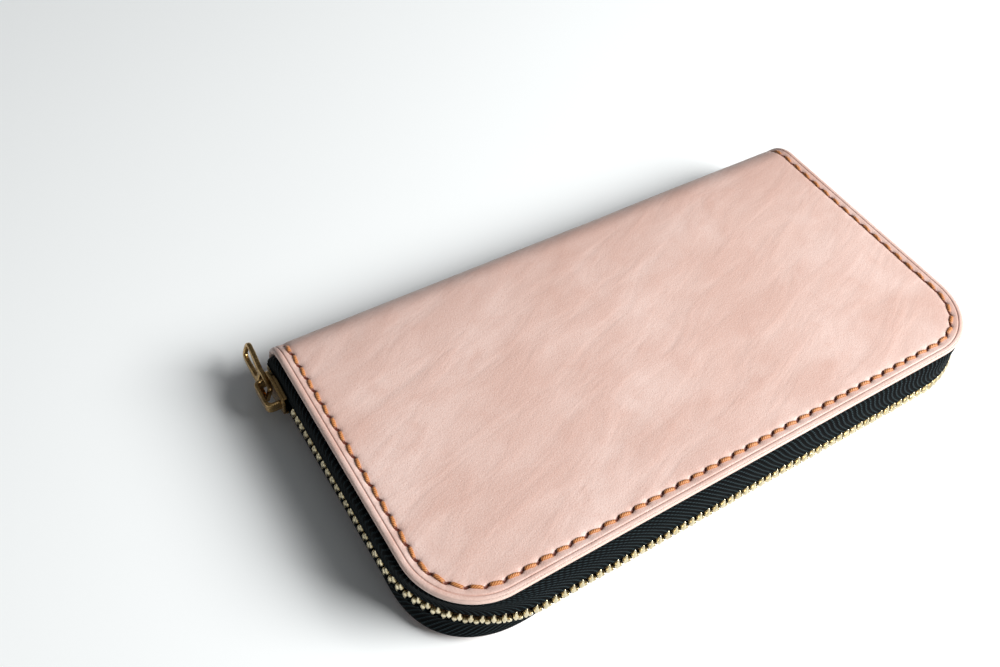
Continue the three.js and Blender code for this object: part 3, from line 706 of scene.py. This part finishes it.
def tape_shape(bulge, row_lean):
    """The tape's cross-section, with its corded edge, swept round the wallet."""
    cover, chain, normal = matched_edges()
    line = smooth_line(TAPE_LINE, 26)
    flat = np.stack([line[:, 0] * ZIP_REACH + line[:, 1], line[:, 2]], -1)
    run, reach = directions(flat), travel(flat)
    half = TAPE_THICK / 2 + BEAD * bell(reach - reach[-1] + 0.55, 0.62, 4)
    half[0] = half[-1] = 0.12
    along = travel(chain)
    ripple = 0.16 * noise_field(np.stack([along, 0 * along], -1), 19, 5.0)
    ripple = ripple[:, None] * bell(reach - 9.6, 2.6)[None]
    past = np.maximum(cover[:, 1] - SPINE_CENTRE_Y, 0)
    lift = (INSIDE_R - np.sqrt(INSIDE_R ** 2 - past ** 2))[:, None]
    free = (TAPE_EDGE_Z - line[:, 2]) / (TAPE_EDGE_Z - line[0, 2])
    fall = line[:, 3] + (row_lean - FRONT_LEAN) * np.clip((line[:, 2] - 3) / 3, 0, 1)
    sides = []
    for sign in (1, -1):
        corner = 2 * bulge * np.abs(normal[:, 0] * normal[:, 1])[:, None]
        out = line[:, 1] + sign * run[:, 1] * half + ripple - fall * normal[:, 1, None] ** 2
        out = out + line[:, 4] * corner
        z = line[:, 2] - sign * run[:, 0] * half + lift * free
        xy = cover[:, None] + (chain - cover)[:, None] * line[:, :1] + normal[:, None] * out[..., None]
        sides.append(join([xy, np.broadcast_to(z[..., None], xy.shape[:2] + (1,))], -1))
    rings = join([sides[0], sides[1][:, ::-1]], 1)
    q = join([reach, reach[::-1]])
    rest = np.stack([*np.broadcast_arrays(along[:, None], q), np.zeros(rings.shape[:2])], -1)
    middle = chain * 0.4 + (cover - normal * 4) * 0.6
    length = np.hypot(*np.diff(middle, axis=0).T).sum()
    return tube(rings, rest), (reach[-1] * MM, length * MM)


# A tooth from the foot on the tape to the tip: height, half width along the zip, half thickness.
TOOTH = [(0.0, 0.14, 0.40), (0.10, 0.25, 0.70), (0.45, 0.30, 0.90), (1.15, 0.36, 1.02), (1.60, 0.48, 1.05),
         (1.95, 0.70, 1.04), (2.35, 0.80, 1.02), (2.75, 0.72, 0.98), (3.02, 0.52, 0.92), (3.38, 0.48, 0.86),
         (3.68, 0.38, 0.74), (3.84, 0.15, 0.42)]
TOOTH_TIP_Z = MID_Z + 0.55


def tooth_row(points, normals, foot_z, scale=1.0, front_lean=0.0):
    """Teeth standing on a line of points. normals are outward; each tooth leans and shines a little
    differently from the next. front_lean sets the feet back along the front."""
    around = np.linspace(0, 2 * np.pi, 12, endpoint=False)
    shapes = []
    for point, out in zip(points, normals):
        lean, twist, rise = rng.uniform(-0.025, 0.025), rng.uniform(-0.03, 0.03), rng.uniform(-0.04, 0.04)
        run = np.array([-out[1], out[0]])
        ring = []
        for height, wide, thick in TOOTH:
            s = scale * (wide * squarish(np.cos(around), 0.6) + lean * height)
            n = scale * (thick * squarish(np.sin(around), 0.6) + twist * height)
            n -= front_lean * out[1] ** 2 * (1 - height / TOOTH[-1][0])
            xy = point + s[:, None] * run + n[:, None] * out
            z = np.full((len(around), 1), foot_z + scale * height + rise * scale)
            ring.append(join([xy, z], 1))
        tint = np.full(len(TOOTH) * len(around), rng.uniform(0, 0.3))
        shapes.append(tube(np.array(ring), tint=tint))
    return many(shapes)


ROW_START_Y, ROW_END_Y = 31.9, 41.5
TOOTH_PITCH = 2.8
chain_rim = Rim(HALF_X + ZIP_REACH, FRONT_Y - ZIP_FRONT_REACH, ROW_END_Y, ZIP_CORNER_R, 0)
row_start = ROW_END_Y - ROW_START_Y
row_count = int((chain_rim.length - row_start) / TOOTH_PITCH)


def block(low, high):
    """A cast metal block with well rounded corners, its length along Y."""
    low, high = np.array(low, float), np.array(high, float)
    middle, half = (low + high) / 2, (high - low) / 2
    around = np.linspace(0, 2 * np.pi, 16, endpoint=False)
    rings = []
    for turn in np.linspace(-math.pi / 2 * 0.98, math.pi / 2 * 0.98, 7):
        across = abs(math.cos(turn)) ** 0.35
        rings.append(np.stack([middle[0] + half[0] * across * squarish(np.cos(around), 0.45),
                               np.full(16, middle[1] + half[1] * math.sin(turn)),
                               middle[2] + half[2] * across * squarish(np.sin(around), 0.45)], -1))
    return tube(np.array(rings), tint=np.full(7 * 16, 0.1))


for side, phase in (("back", 0.5), ("front", 1.0)):
    mirror = side == "front"
    shape, flat_size = tape_shape(CORNER_BULGE[side], ROW_LEAN[side])
    tape = build(f"{side}_tape_cloth", shape, TAPE_CLOTH, mirror, stands_for=f"{side}_zip_tape")
    bend(tape, side, *ZIP_BEND)
    at = row_start + TOOTH_PITCH * (phase + np.arange(row_count))
    teeth_at, teeth_out = chain_rim.at(at[at < chain_rim.length])
    shape = tooth_row(teeth_at, teeth_out, TOOTH_TIP_Z - TOOTH[-1][0], 1, ROW_LEAN[side])
    build(f"{side}_teeth_row", shape, TEETH_BRASS, mirror, f"{side}_half", f"{side}_teeth")
    for stop in ("top_stop", "bottom_stop"):
        piece = build(f"{side}_{stop}_crimped", block(*cad(f"back_{stop}")), TEETH_BRASS, mirror,
                      stands_for=f"{side}_{stop}")
        bend(piece, side, *ZIP_BEND)


# ---- slider and pull, drawn at full size: x to where the rows part, n outward, z across ----
def rounded(corners, radius, steps=6):
    """A closed outline with its corners rounded off. radius is one value or one for each corner."""
    corners = [Vector(c) for c in corners]
    radii = [radius] * len(corners) if isinstance(radius, (int, float)) else radius
    outline = []
    for i, corner in enumerate(corners):
        before, after = corners[i - 1] - corner, corners[(i + 1) % len(corners)] - corner
        half = before.angle(after) / 2
        reach = min(radii[i] / math.tan(half), before.length * 0.49, after.length * 0.49)
        start, end = corner + before.normalized() * reach, corner + after.normalized() * reach
        for share in np.linspace(0, 1, steps):
            outline.append(start.lerp(corner, share).lerp(corner.lerp(end, share), share)[:])
    return outline


def plate(outlines, thick, bevel):
    """A cast plate with rounded edges from a flat outline and its holes."""
    curve = bpy.data.curves.new("plate", "CURVE")
    curve.dimensions, curve.fill_mode = "2D", "BOTH"
    curve.extrude, curve.bevel_depth, curve.bevel_resolution = thick / 2 - bevel, bevel, 2
    curve.offset = -bevel
    for outline in outlines:
        spline = curve.splines.new("POLY")
        spline.points.add(len(outline) - 1)
        for point, (x, y) in zip(spline.points, outline):
            point.co = (x, y, 0, 1)
        spline.use_cyclic_u = True
    holder = add("plate", curve)
    mesh = bpy.data.meshes.new_from_object(holder.evaluated_get(bpy.context.evaluated_depsgraph_get()))
    welded = bmesh.new()
    welded.from_mesh(mesh)
    bmesh.ops.remove_doubles(welded, verts=welded.verts, dist=1e-4)
    points = np.array([v.co for v in welded.verts])
    faces = [tuple(v.index for v in f.verts) for f in welded.faces]
    welded.free()
    bpy.data.objects.remove(holder)
    bpy.data.curves.remove(curve)
    bpy.data.meshes.remove(mesh)
    return points, faces


PLATE_IN, PLATE_OUT = 1.5, 2.5
STRAP_RISE = 4.2
STRAP_HALF = 1.8
PIVOT_OUT = PLATE_OUT + 1.6
SLIDER_HALF = 6.5


def slider_parts():
    """Its two plates, their flanges, the post that parts the rows and the strap that holds the pull."""
    body = rounded([(-SLIDER_HALF, -3.5), (-SLIDER_HALF, 3.5), (1.6, 4.7), (SLIDER_HALF, 3.4),
                    (SLIDER_HALF, -3.4), (1.6, -4.7)], [1.4, 1.4, 3, 2.4, 2.4, 3])
    flange = rounded([(-SLIDER_HALF + 0.3, 3.0), (-SLIDER_HALF + 0.3, 3.75), (1.0, 4.55), (2.8, 4.2),
                      (2.6, 3.6), (0.8, 3.8)], 0.3, 3)
    post = rounded([(2.9, 0), (4.2, 1.15), (6.2, 0.7), (6.2, -0.7), (4.2, -1.15)], 0.4, 4)
    reach, crown, inner, bar = 5.2, PLATE_OUT + STRAP_RISE, PLATE_OUT - 0.1, 1.1
    strap = rounded([(-reach, inner), (-reach, crown), (reach, crown), (reach, inner), (reach - bar, inner),
                     (reach - bar, crown - bar), (bar - reach, crown - bar), (bar - reach, inner)],
                    [0.2, 2.4, 2.0, 0.2, 0.2, 1.1, 1.4, 0.2], 8)
    middle = (PLATE_IN + PLATE_OUT) / 2
    for outline, thick, bevel, places in (
            (body, PLATE_OUT - PLATE_IN, 0.32, [(middle, 1, 1), (-middle, 1, 1)]),
            (flange, 1.0, 0.2, [(1.15, n, z) for n in (1, -1) for z in (1, -1)]),
            (post, 2 * PLATE_IN + 0.2, 0.1, [(0, 1, 1)])):
        points, faces = plate([outline], thick, bevel)
        for out, n, z in places:
            yield (points[:, [0, 2, 1]] + (0, out, 0)) * (1, n, z), faces
    yield plate([strap], 2 * STRAP_HALF, 0.42)


def pull_part(length, tilt=0, roll=0):
    """A flat pull with an eye and a long slot, tilted in its swing and rolled about its length."""
    wide, waist, thick = 3.2, 2.7, 1.4
    tip = length - 0.6
    side = [(-0.6, wide - 0.4), (5.5, wide - 0.1), (8.4, waist), (tip - 5, wide), (tip, wide)]
    outline = rounded(side + [(x, -y) for x, y in side[::-1]], [1.0, 2, 4, 4, wide, wide, 4, 4, 2, 1.0], 9)
    eye = rounded([(0.6, 2.1), (6.6, 2.0), (6.6, -2.0), (0.6, -2.1)], [0.5, 1.2, 1.2, 0.5])
    slot = rounded([(8.2, 0.85), (tip - 3.4, 1.9), (tip - 1.2, 1.8), (tip - 1.2, -1.8), (tip - 3.4, -1.9),
                    (8.2, -0.85)], [0.8, 3, 1.7, 1.7, 3, 0.8], 8)
    points, faces = plate([outline, eye, slot], thick, 0.4)
    turn, twist = math.radians(-tilt), math.radians(roll)
    along = points[:, 0]
    out = points[:, 2] * math.cos(twist) - points[:, 1] * math.sin(twist)
    across = points[:, 1] * math.cos(twist) + points[:, 2] * math.sin(twist)
    return np.stack([along * math.cos(turn) - out * math.sin(turn),
                     PIVOT_OUT + along * math.sin(turn) + out * math.cos(turn), across], -1), faces


def cast(name, outlines, place, turn, scale, body, stands_for):
    """Metal parts in slider axes, turned about Z, scaled and set down at place."""
    points, faces, marks = many((p, f, {"rest": p, "tint": np.zeros(len(p))}) for p, f in outlines)
    around = np.array(Matrix.Rotation(turn, 3, "Z"))
    obj = build(name, (points @ around.T * scale + place, faces, marks), SLIDER_BRASS, body=body,
                stands_for=stands_for)
    obj.data.set_sharp_from_angle(angle=math.radians(50))
    obj.modifiers.new("even_faces", "WEIGHTED_NORMAL").keep_sharp = True


COIN_SCALE = 0.68
PULL_LENGTH, COIN_PULL_LENGTH = 20, 10.5
PULL_TILT = 3              # degrees off the chain's line, as in the CAD
PULL_ROLL = 18             # degrees, the play in its bar lets the main pull's face turn up
SLIDER_Y = 39.0            # where the sliders stand at rest, as in the CAD
COIN_SLIDER_X, COIN_SLIDER_Y = -68.0, -36.0
main_zip = np.array([-HALF_X - ZIP_REACH, SLIDER_Y, MID_Z]), math.pi / 2, 1
coin_zip = np.array([COIN_SLIDER_X, COIN_SLIDER_Y, MID_Z]), math.pi, COIN_SCALE
cast("zip_slider_cast", slider_parts(), *main_zip, "main_slider", "zip_slider")
cast("zip_pull_cast", [pull_part(PULL_LENGTH, PULL_TILT, PULL_ROLL)], *main_zip, "main_pull", "zip_pull")
cast("coin_slider_cast", slider_parts(), *coin_zip, "pocket_slider", "coin_slider")
cast("coin_pull_cast", [pull_part(COIN_PULL_LENGTH / COIN_SCALE)], *coin_zip, "pocket_pull", "coin_pull")


# ---- inside ----
THIN_INSETS = [4, 3, 2.2, 1.7, 1.45, 1.25, 1.05, 0.8, 0.5]
THIN_BAND = 3.9            # insets up to here belong to the worked edge
PATCH_STEP = 20
FILL_STEP = 6
CREASE = 1.25              # inset of the crease
BACK_R = 4.2


def rectangle(x0, x1, y0, y1, front_r, back_r, step=1.2):
    """A rectangle's outline with round corners, and its outward normals."""
    points, normals = [], []
    corners = [(x0 + front_r, y0 + front_r, front_r), (x1 - front_r, y0 + front_r, front_r),
               (x1 - back_r, y1 - back_r, back_r), (x0 + back_r, y1 - back_r, back_r)]
    for i, (x, y, radius) in enumerate(corners):
        count = max(4, math.ceil(radius * math.pi / 2 / step))
        for k in range(count + 1):
            turn = math.radians((180 + 90 * i) % 360 + 90 * k / count)
            normals.append((math.cos(turn), math.sin(turn)))
            points.append((x + radius * normals[-1][0], y + radius * normals[-1][1]))
        next_x, next_y, next_radius = corners[(i + 1) % 4]
        last = np.array(points[-1])
        way = np.array([next_x, next_y]) + next_radius * np.array(normals[-1]) - last
        count = math.ceil(np.hypot(*way) / step)
        points += [tuple(last + way * k / count) for k in range(1, count)]
        normals += [normals[-1]] * (count - 1)
    return np.array(points), np.array(normals)


def inner_panel(name, x_range, t_range, front_r, back_r, thick, surface, finish, mirror, body, stands_for,
                seed, rows=None, uneven=0.05, insets=THIN_INSETS):
    """A thin leather panel with a rounded, creased edge. surface places its flat points in space.
    seed gives each panel its own patch of the leather's pattern."""
    outline, out = rectangle(*x_range, *t_range, front_r, back_r)

    def relief(flat, inset, station):
        crease = np.where(inset < THIN_BAND, 0.09 * bell(inset - CREASE, 0.2), 0)
        return crease + uneven * noise_field(flat, 17, seed)

    profile = edge_profile(insets, thick, [insets[0] / 2, insets[0]])
    if rows is None:
        rows = np.arange(t_range[0] + 6, t_range[1] - 4, FILL_STEP)
    columns = np.arange(x_range[0] + 6, x_range[1] - 4, FILL_STEP)
    points, faces, flat, inset, outer = panel_shape(outline, out, profile, relief, surface, rows, columns,
                                                    closed=True)
    rest = np.stack([flat[:, 0], flat[:, 1], np.full(len(flat), PATCH_STEP * (3 + seed))], -1)
    # edge carries a painted highlight and crease painted shade; hole is empty here.
    marks = {"rest": rest, "hole": np.zeros(len(flat)), "edge": bell(inset, 0.35) * (inset < THIN_BAND),
             "crease": bell(inset - CREASE, 0.25) * outer}
    build(name, (points, faces, marks), finish, mirror, body, stands_for)


def stitch_line(name, lines, surface, body, mirror):
    """Fine stitches along straight lines, each given as its two ends."""
    size, pitch = 0.4, 3.4
    starts, ends = [], []
    for a, b in lines:
        a, b = np.array(a, float), np.array(b, float)
        count = max(1, round(np.hypot(*(b - a)) / pitch))
        run = (b - a) / np.hypot(*(b - a))
        slant = 0.35 * size * np.array([-run[1], run[0]])
        for k in range(count):
            starts.append(a + (b - a) * k / count + run * 0.5 + slant)
            ends.append(a + (b - a) * (k + 1) / count - run * 0.5 - slant)
    shape = stitch_tubes(np.array(starts), np.array(ends), surface, size, lift=0.12)
    build(name, shape, THREAD, mirror, body)


def lying_at(top_z, facing=1):
    """A flat surface whose finished face is at top_z and looks up, or down where facing is -1."""
    return lambda x, t, depth: np.stack([x, t, top_z - facing * depth], -1)


def lying_panel(name, side, cad_node, finish, corner_r, seed):
    """A panel that lies flat in one half, where this CAD node is. Returns its box in the back half."""
    low, high = cad(f"back_{cad_node}")
    inner_panel(f"{side}_{name}", (low.x, high.x), (low.y, high.y), corner_r, BACK_R, high.z - low.z,
                lying_at(high.z), finish, side == "front", f"{side}_half", f"{side}_{cad_node}", seed)
    return low, high


GUSSET_LOW, GUSSET_HIGH = cad("back_gusset_right")
LEAF = 0.4
FOLD_X, LEAF_X = GUSSET_LOW.x, GUSSET_HIGH.x
FOLD_Z = (GUSSET_LOW.z + GUSSET_HIGH.z) / 2
SPREAD = (GUSSET_HIGH.z - GUSSET_LOW.z - LEAF) / 2


def gusset(name, x_side, mirror):
    """A folded leaf that opens like a V."""
    folds, rows = 33, 40
    q = np.linspace(-1, 1, folds)
    y = np.linspace(GUSSET_LOW.y, GUSSET_HIGH.y, rows)
    across, along = np.meshgrid(q, y)
    soft = np.sqrt(across ** 2 + 0.05 ** 2)
    wave = 0.7 * noise_field(np.stack([along.ravel(), 9 * x_side + 0 * along.ravel()], -1), 21, 2.0)
    x = x_side * (FOLD_X + 1 + (LEAF_X - FOLD_X - 1) * soft + wave.reshape(soft.shape) * (1 - soft))
    z = FOLD_Z + SPREAD * across
    points = np.stack([x, along, z], -1).reshape(-1, 3)
    rest = np.stack([across * (LEAF_X - FOLD_X), along, 0 * along], -1).reshape(-1, 3)
    obj = build(name, (points, lattice(rows, folds), {"rest": rest}), GUSSET_LEATHER, mirror)
    skin = obj.modifiers.new("leather", "SOLIDIFY")
    skin.thickness, skin.offset = LEAF * MM, 0
    return obj


CARD_SIDE, CARD_BACK = 85.5, 31.5
CARD_SEAM = 12.5           # how far a slot's side stitches run, up to the next slot's mouth
for side in ("back", "front"):
    mirror = side == "front"
    lying_panel("lining_suede", side, "lining", LINING, CORNER_R - 3, 1.0)
    for level in (1, 2, 3):
        low, high = lying_panel(f"card_panel_{level}", side, f"card_slot_{level}", INNER_LEATHER, 6,
                                1.0 + level)
        mouth = low.y + 2
        end = CARD_BACK if level == 3 else low.y + CARD_SEAM
        lines = [((x, mouth), (x, end)) for x in (-CARD_SIDE, 0, CARD_SIDE)]
        if level == 3:
            lines += [((-CARD_SIDE, CARD_BACK), (0, CARD_BACK)), ((0, CARD_BACK), (CARD_SIDE, CARD_BACK))]
        stitch_line(f"{side}_card_stitches_{level}", lines, lying_at(high.z), f"{side}_half", mirror)
    for name, x_side in (("left", -1), ("right", 1)):
        leaf = gusset(f"{side}_{name}_gusset_leaf", x_side, mirror)
        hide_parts(f"{side}_gusset_{name}")
        bend(leaf, side, (0, 0, FOLD_Z - SPREAD), (0, 0, FOLD_Z + SPREAD))

# ---- coin pocket: one folded piece of leather, two sides and its own small zip ----
SHELL_LOW, SHELL_HIGH = cad("coin_pocket_shell")
SHELL_WALL = 0.7
FOLD_R = (SHELL_HIGH.z - SHELL_LOW.z) / 2
FOLD_Y = SHELL_HIGH.y - FOLD_R
SHELL_FLAT = FOLD_Y - SHELL_LOW.y
SHELL_TURN = math.pi * (FOLD_R - SHELL_WALL / 2)


def shell_surface(x, t, depth):
    """The lower leaf, a round fold at the spine side and the upper leaf back to the mouth."""
    turn = np.clip((t - SHELL_FLAT) / SHELL_TURN, 0, 1) * np.pi
    radius = FOLD_R - depth
    back = np.clip(t - SHELL_FLAT - SHELL_TURN, 0, None)
    y = np.where(t < SHELL_FLAT, SHELL_LOW.y + t, FOLD_Y + radius * np.sin(turn) - back)
    return np.stack([x, y, MID_Z - radius * np.cos(turn)], -1)


shell_length = 2 * SHELL_FLAT + SHELL_TURN
shell_rows = join([np.arange(6, SHELL_FLAT, FILL_STEP),
                   np.linspace(SHELL_FLAT, SHELL_FLAT + SHELL_TURN, 14),
                   np.arange(SHELL_FLAT + SHELL_TURN + 5, shell_length - 4, FILL_STEP)])
inner_panel("coin_pocket_leather", (SHELL_LOW.x, SHELL_HIGH.x), (0, shell_length), BACK_R, BACK_R,
            SHELL_WALL, shell_surface, INNER_LEATHER, False, "coin_pocket", "coin_pocket_shell", 6.0,
            shell_rows)

for name, x_side in (("left", -1), ("right", 1)):
    low, high = cad(f"coin_pocket_{name}_side")
    middle_x, wall = (low.x + high.x) / 2, high.x - low.x

    def side_surface(x, t, depth):
        """Upright at the pocket's end, bowed a little inwards between the leaves."""
        bow = 0.5 * (1 - ((x - MID_Z) / (high.z - MID_Z)) ** 2)
        return np.stack([middle_x + x_side * (wall / 2 - depth - bow), t, x], -1)

    inner_panel(f"coin_pocket_{name}_end", (low.z, high.z), (low.y, high.y), 1.3, 1.3, wall, side_surface,
                GUSSET_LEATHER, False, "coin_pocket", f"coin_pocket_{name}_side", 7.0, uneven=0.02,
                insets=[1.2, 0.9, 0.6, 0.45])

COIN_TAPE = 0.4
COIN_TAPE_TURN_Y = -31, -34.4, -35.6       # lying until the second of these, then turning up
COIN_TAPE_LOW, COIN_TAPE_HIGH = cad("coin_back_tape")
COIN_TEETH_LOW, COIN_TEETH_HIGH = cad("coin_back_teeth")
COIN_ZIP_Y = (COIN_TEETH_LOW.y + COIN_TEETH_HIGH.y) / 2
COIN_PITCH = TOOTH_PITCH * COIN_SCALE


def coin_tape_shape():
    """Flat on the pocket's outer face, then turned up to the chain in front of its mouth."""
    lie = COIN_TAPE_LOW.z + COIN_TAPE / 2
    flat_y, last_flat_y, rising_y = COIN_TAPE_TURN_Y
    line = smooth_line([(COIN_TAPE_HIGH.y, lie), (flat_y, lie), (last_flat_y, lie), (rising_y, lie + 0.35),
                        (COIN_ZIP_Y, lie + 1.1), (COIN_ZIP_Y, COIN_TAPE_HIGH.z)], 20)
    run, reach = directions(line), travel(line)
    half = COIN_TAPE / 2 + 0.28 * bell(reach - reach[-1] + 0.4, 0.45, 4)
    half[0] = half[-1] = 0.1
    xs = np.arange(COIN_TAPE_LOW.x, COIN_TAPE_HIGH.x + 0.1, 1.6)
    aside = np.stack([-run[:, 1], run[:, 0]], -1) * half[:, None]
    ring = join([line + aside, (line - aside)[::-1]])
    rings = np.array([[(x, y, z) for y, z in ring] for x in xs])
    q = join([reach, reach[::-1]])
    rest = np.array([[(x, across, 0) for across in q] for x in xs])
    return tube(rings, rest), (reach[-1] * MM, (xs[-1] - xs[0]) * MM)


coin_tape, coin_flat_size = coin_tape_shape()
coin_first = COIN_TEETH_LOW.x + COIN_PITCH / 2
coin_count = int((COIN_TEETH_HIGH.x - COIN_TEETH_LOW.x) / COIN_PITCH)
for side, phase in (("back", 0.0), ("front", 0.5)):
    mirror = side == "front"
    tape = build(f"coin_{side}_tape_cloth", coin_tape, TAPE_CLOTH, mirror, "coin_pocket",
                 f"coin_{side}_tape")
    xs = coin_first + COIN_PITCH * (phase + np.arange(coin_count - 0.5))
    teeth_at = np.stack([xs, np.full(len(xs), COIN_ZIP_Y)], -1)
    teeth_out = np.tile([0.0, -1.0], (len(xs), 1))
    foot = MID_Z + 0.55 * COIN_SCALE - TOOTH[-1][0] * COIN_SCALE
    build(f"coin_{side}_teeth_row", tooth_row(teeth_at, teeth_out, foot, COIN_SCALE), TEETH_BRASS, mirror,
          "coin_pocket", f"coin_{side}_teeth")
    seam_y, seam_x = COIN_TAPE_HIGH.y - 1.3, COIN_TAPE_HIGH.x - 1.5
    stitch_line(f"coin_{side}_tape_stitches", [((-seam_x, seam_y), (seam_x, seam_y))],
                lying_at(COIN_TAPE_LOW.z, -1), "coin_pocket", mirror)

# ---- stage ----
floor_mesh = bpy.data.meshes.new("floor")
FLOOR = 3.0
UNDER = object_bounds()[0].z            # the wallet stands on the stitches of its back cover
corners = [(x * FLOOR, y * FLOOR, UNDER) for x, y in ((-1, -1), (1, -1), (1, 1), (-1, 1))]
floor_mesh.from_pydata(corners, [], [(0, 1, 2, 3)])
add("floor", floor_mesh)
table = Look("white_table", specular=0.3)
table_tone = table.noise(0.6, 3, 0.5, vector=node(table.tree, "TexCoord").outputs["Object"])
floor_mesh.materials.append(table.finish(
    table.mix(table.span(table_tone, 0.3, 0.7), (0.86, 0.895, 0.91, 1), (0.89, 0.925, 0.94, 1)), 0.55))

CAMERA_AZIMUTH, CAMERA_ELEVATION, CAMERA_ROLL = math.radians(37.07), math.radians(50.54), math.radians(6.85)
CAMERA_DISTANCE = 291.6
LOOK_AT = Vector((-38.6, 19.5, THICK))
LENS = 35.52

camera_data = bpy.data.cameras.new("camera")
camera_data.lens = LENS
camera_data.sensor_width = 36
camera_data.clip_start = 0.01
camera = scene.camera = add("camera", camera_data)
away = Vector((-math.sin(CAMERA_AZIMUTH) * math.cos(CAMERA_ELEVATION),
               -math.cos(CAMERA_AZIMUTH) * math.cos(CAMERA_ELEVATION), math.sin(CAMERA_ELEVATION)))
aim = (-away).to_track_quat("-Z", "Y").to_matrix() @ Matrix.Rotation(CAMERA_ROLL, 3, "Z")
camera.matrix_world = Matrix.LocRotScale(
    (LOOK_AT + MIDDLE + away * CAMERA_DISTANCE) * MM, aim.to_quaternion(), None)


def soft_light(name, azimuth, elevation, distance, size, power, color):
    """A square light that faces the wallet from this side, degrees round from -Y towards +X."""
    data = bpy.data.lights.new(name, "AREA")
    data.size, data.energy, data.color = size, power, color
    light = add(name, data)
    turn, rise = math.radians(azimuth), math.radians(elevation)
    place = Vector((math.sin(turn) * math.cos(rise), -math.cos(turn) * math.cos(rise), math.sin(rise)))
    light.location = place * distance
    light.rotation_euler = place.to_track_quat("Z", "Y").to_euler()


soft_light("window", 45, 37, 1.3, 0.72, 34.5, (1.0, 0.985, 0.965))
soft_light("ceiling", 20, 74, 1.2, 0.9, 0.8, (0.97, 0.985, 1.0))
world = bpy.data.worlds.new("room")
scene.world = world
world.use_nodes = True
sky = world.node_tree.nodes["Background"].inputs
sky["Color"].default_value = (0.97, 0.98, 1.0, 1)
sky["Strength"].default_value = 0.105
scene.view_settings.view_transform = "Standard"
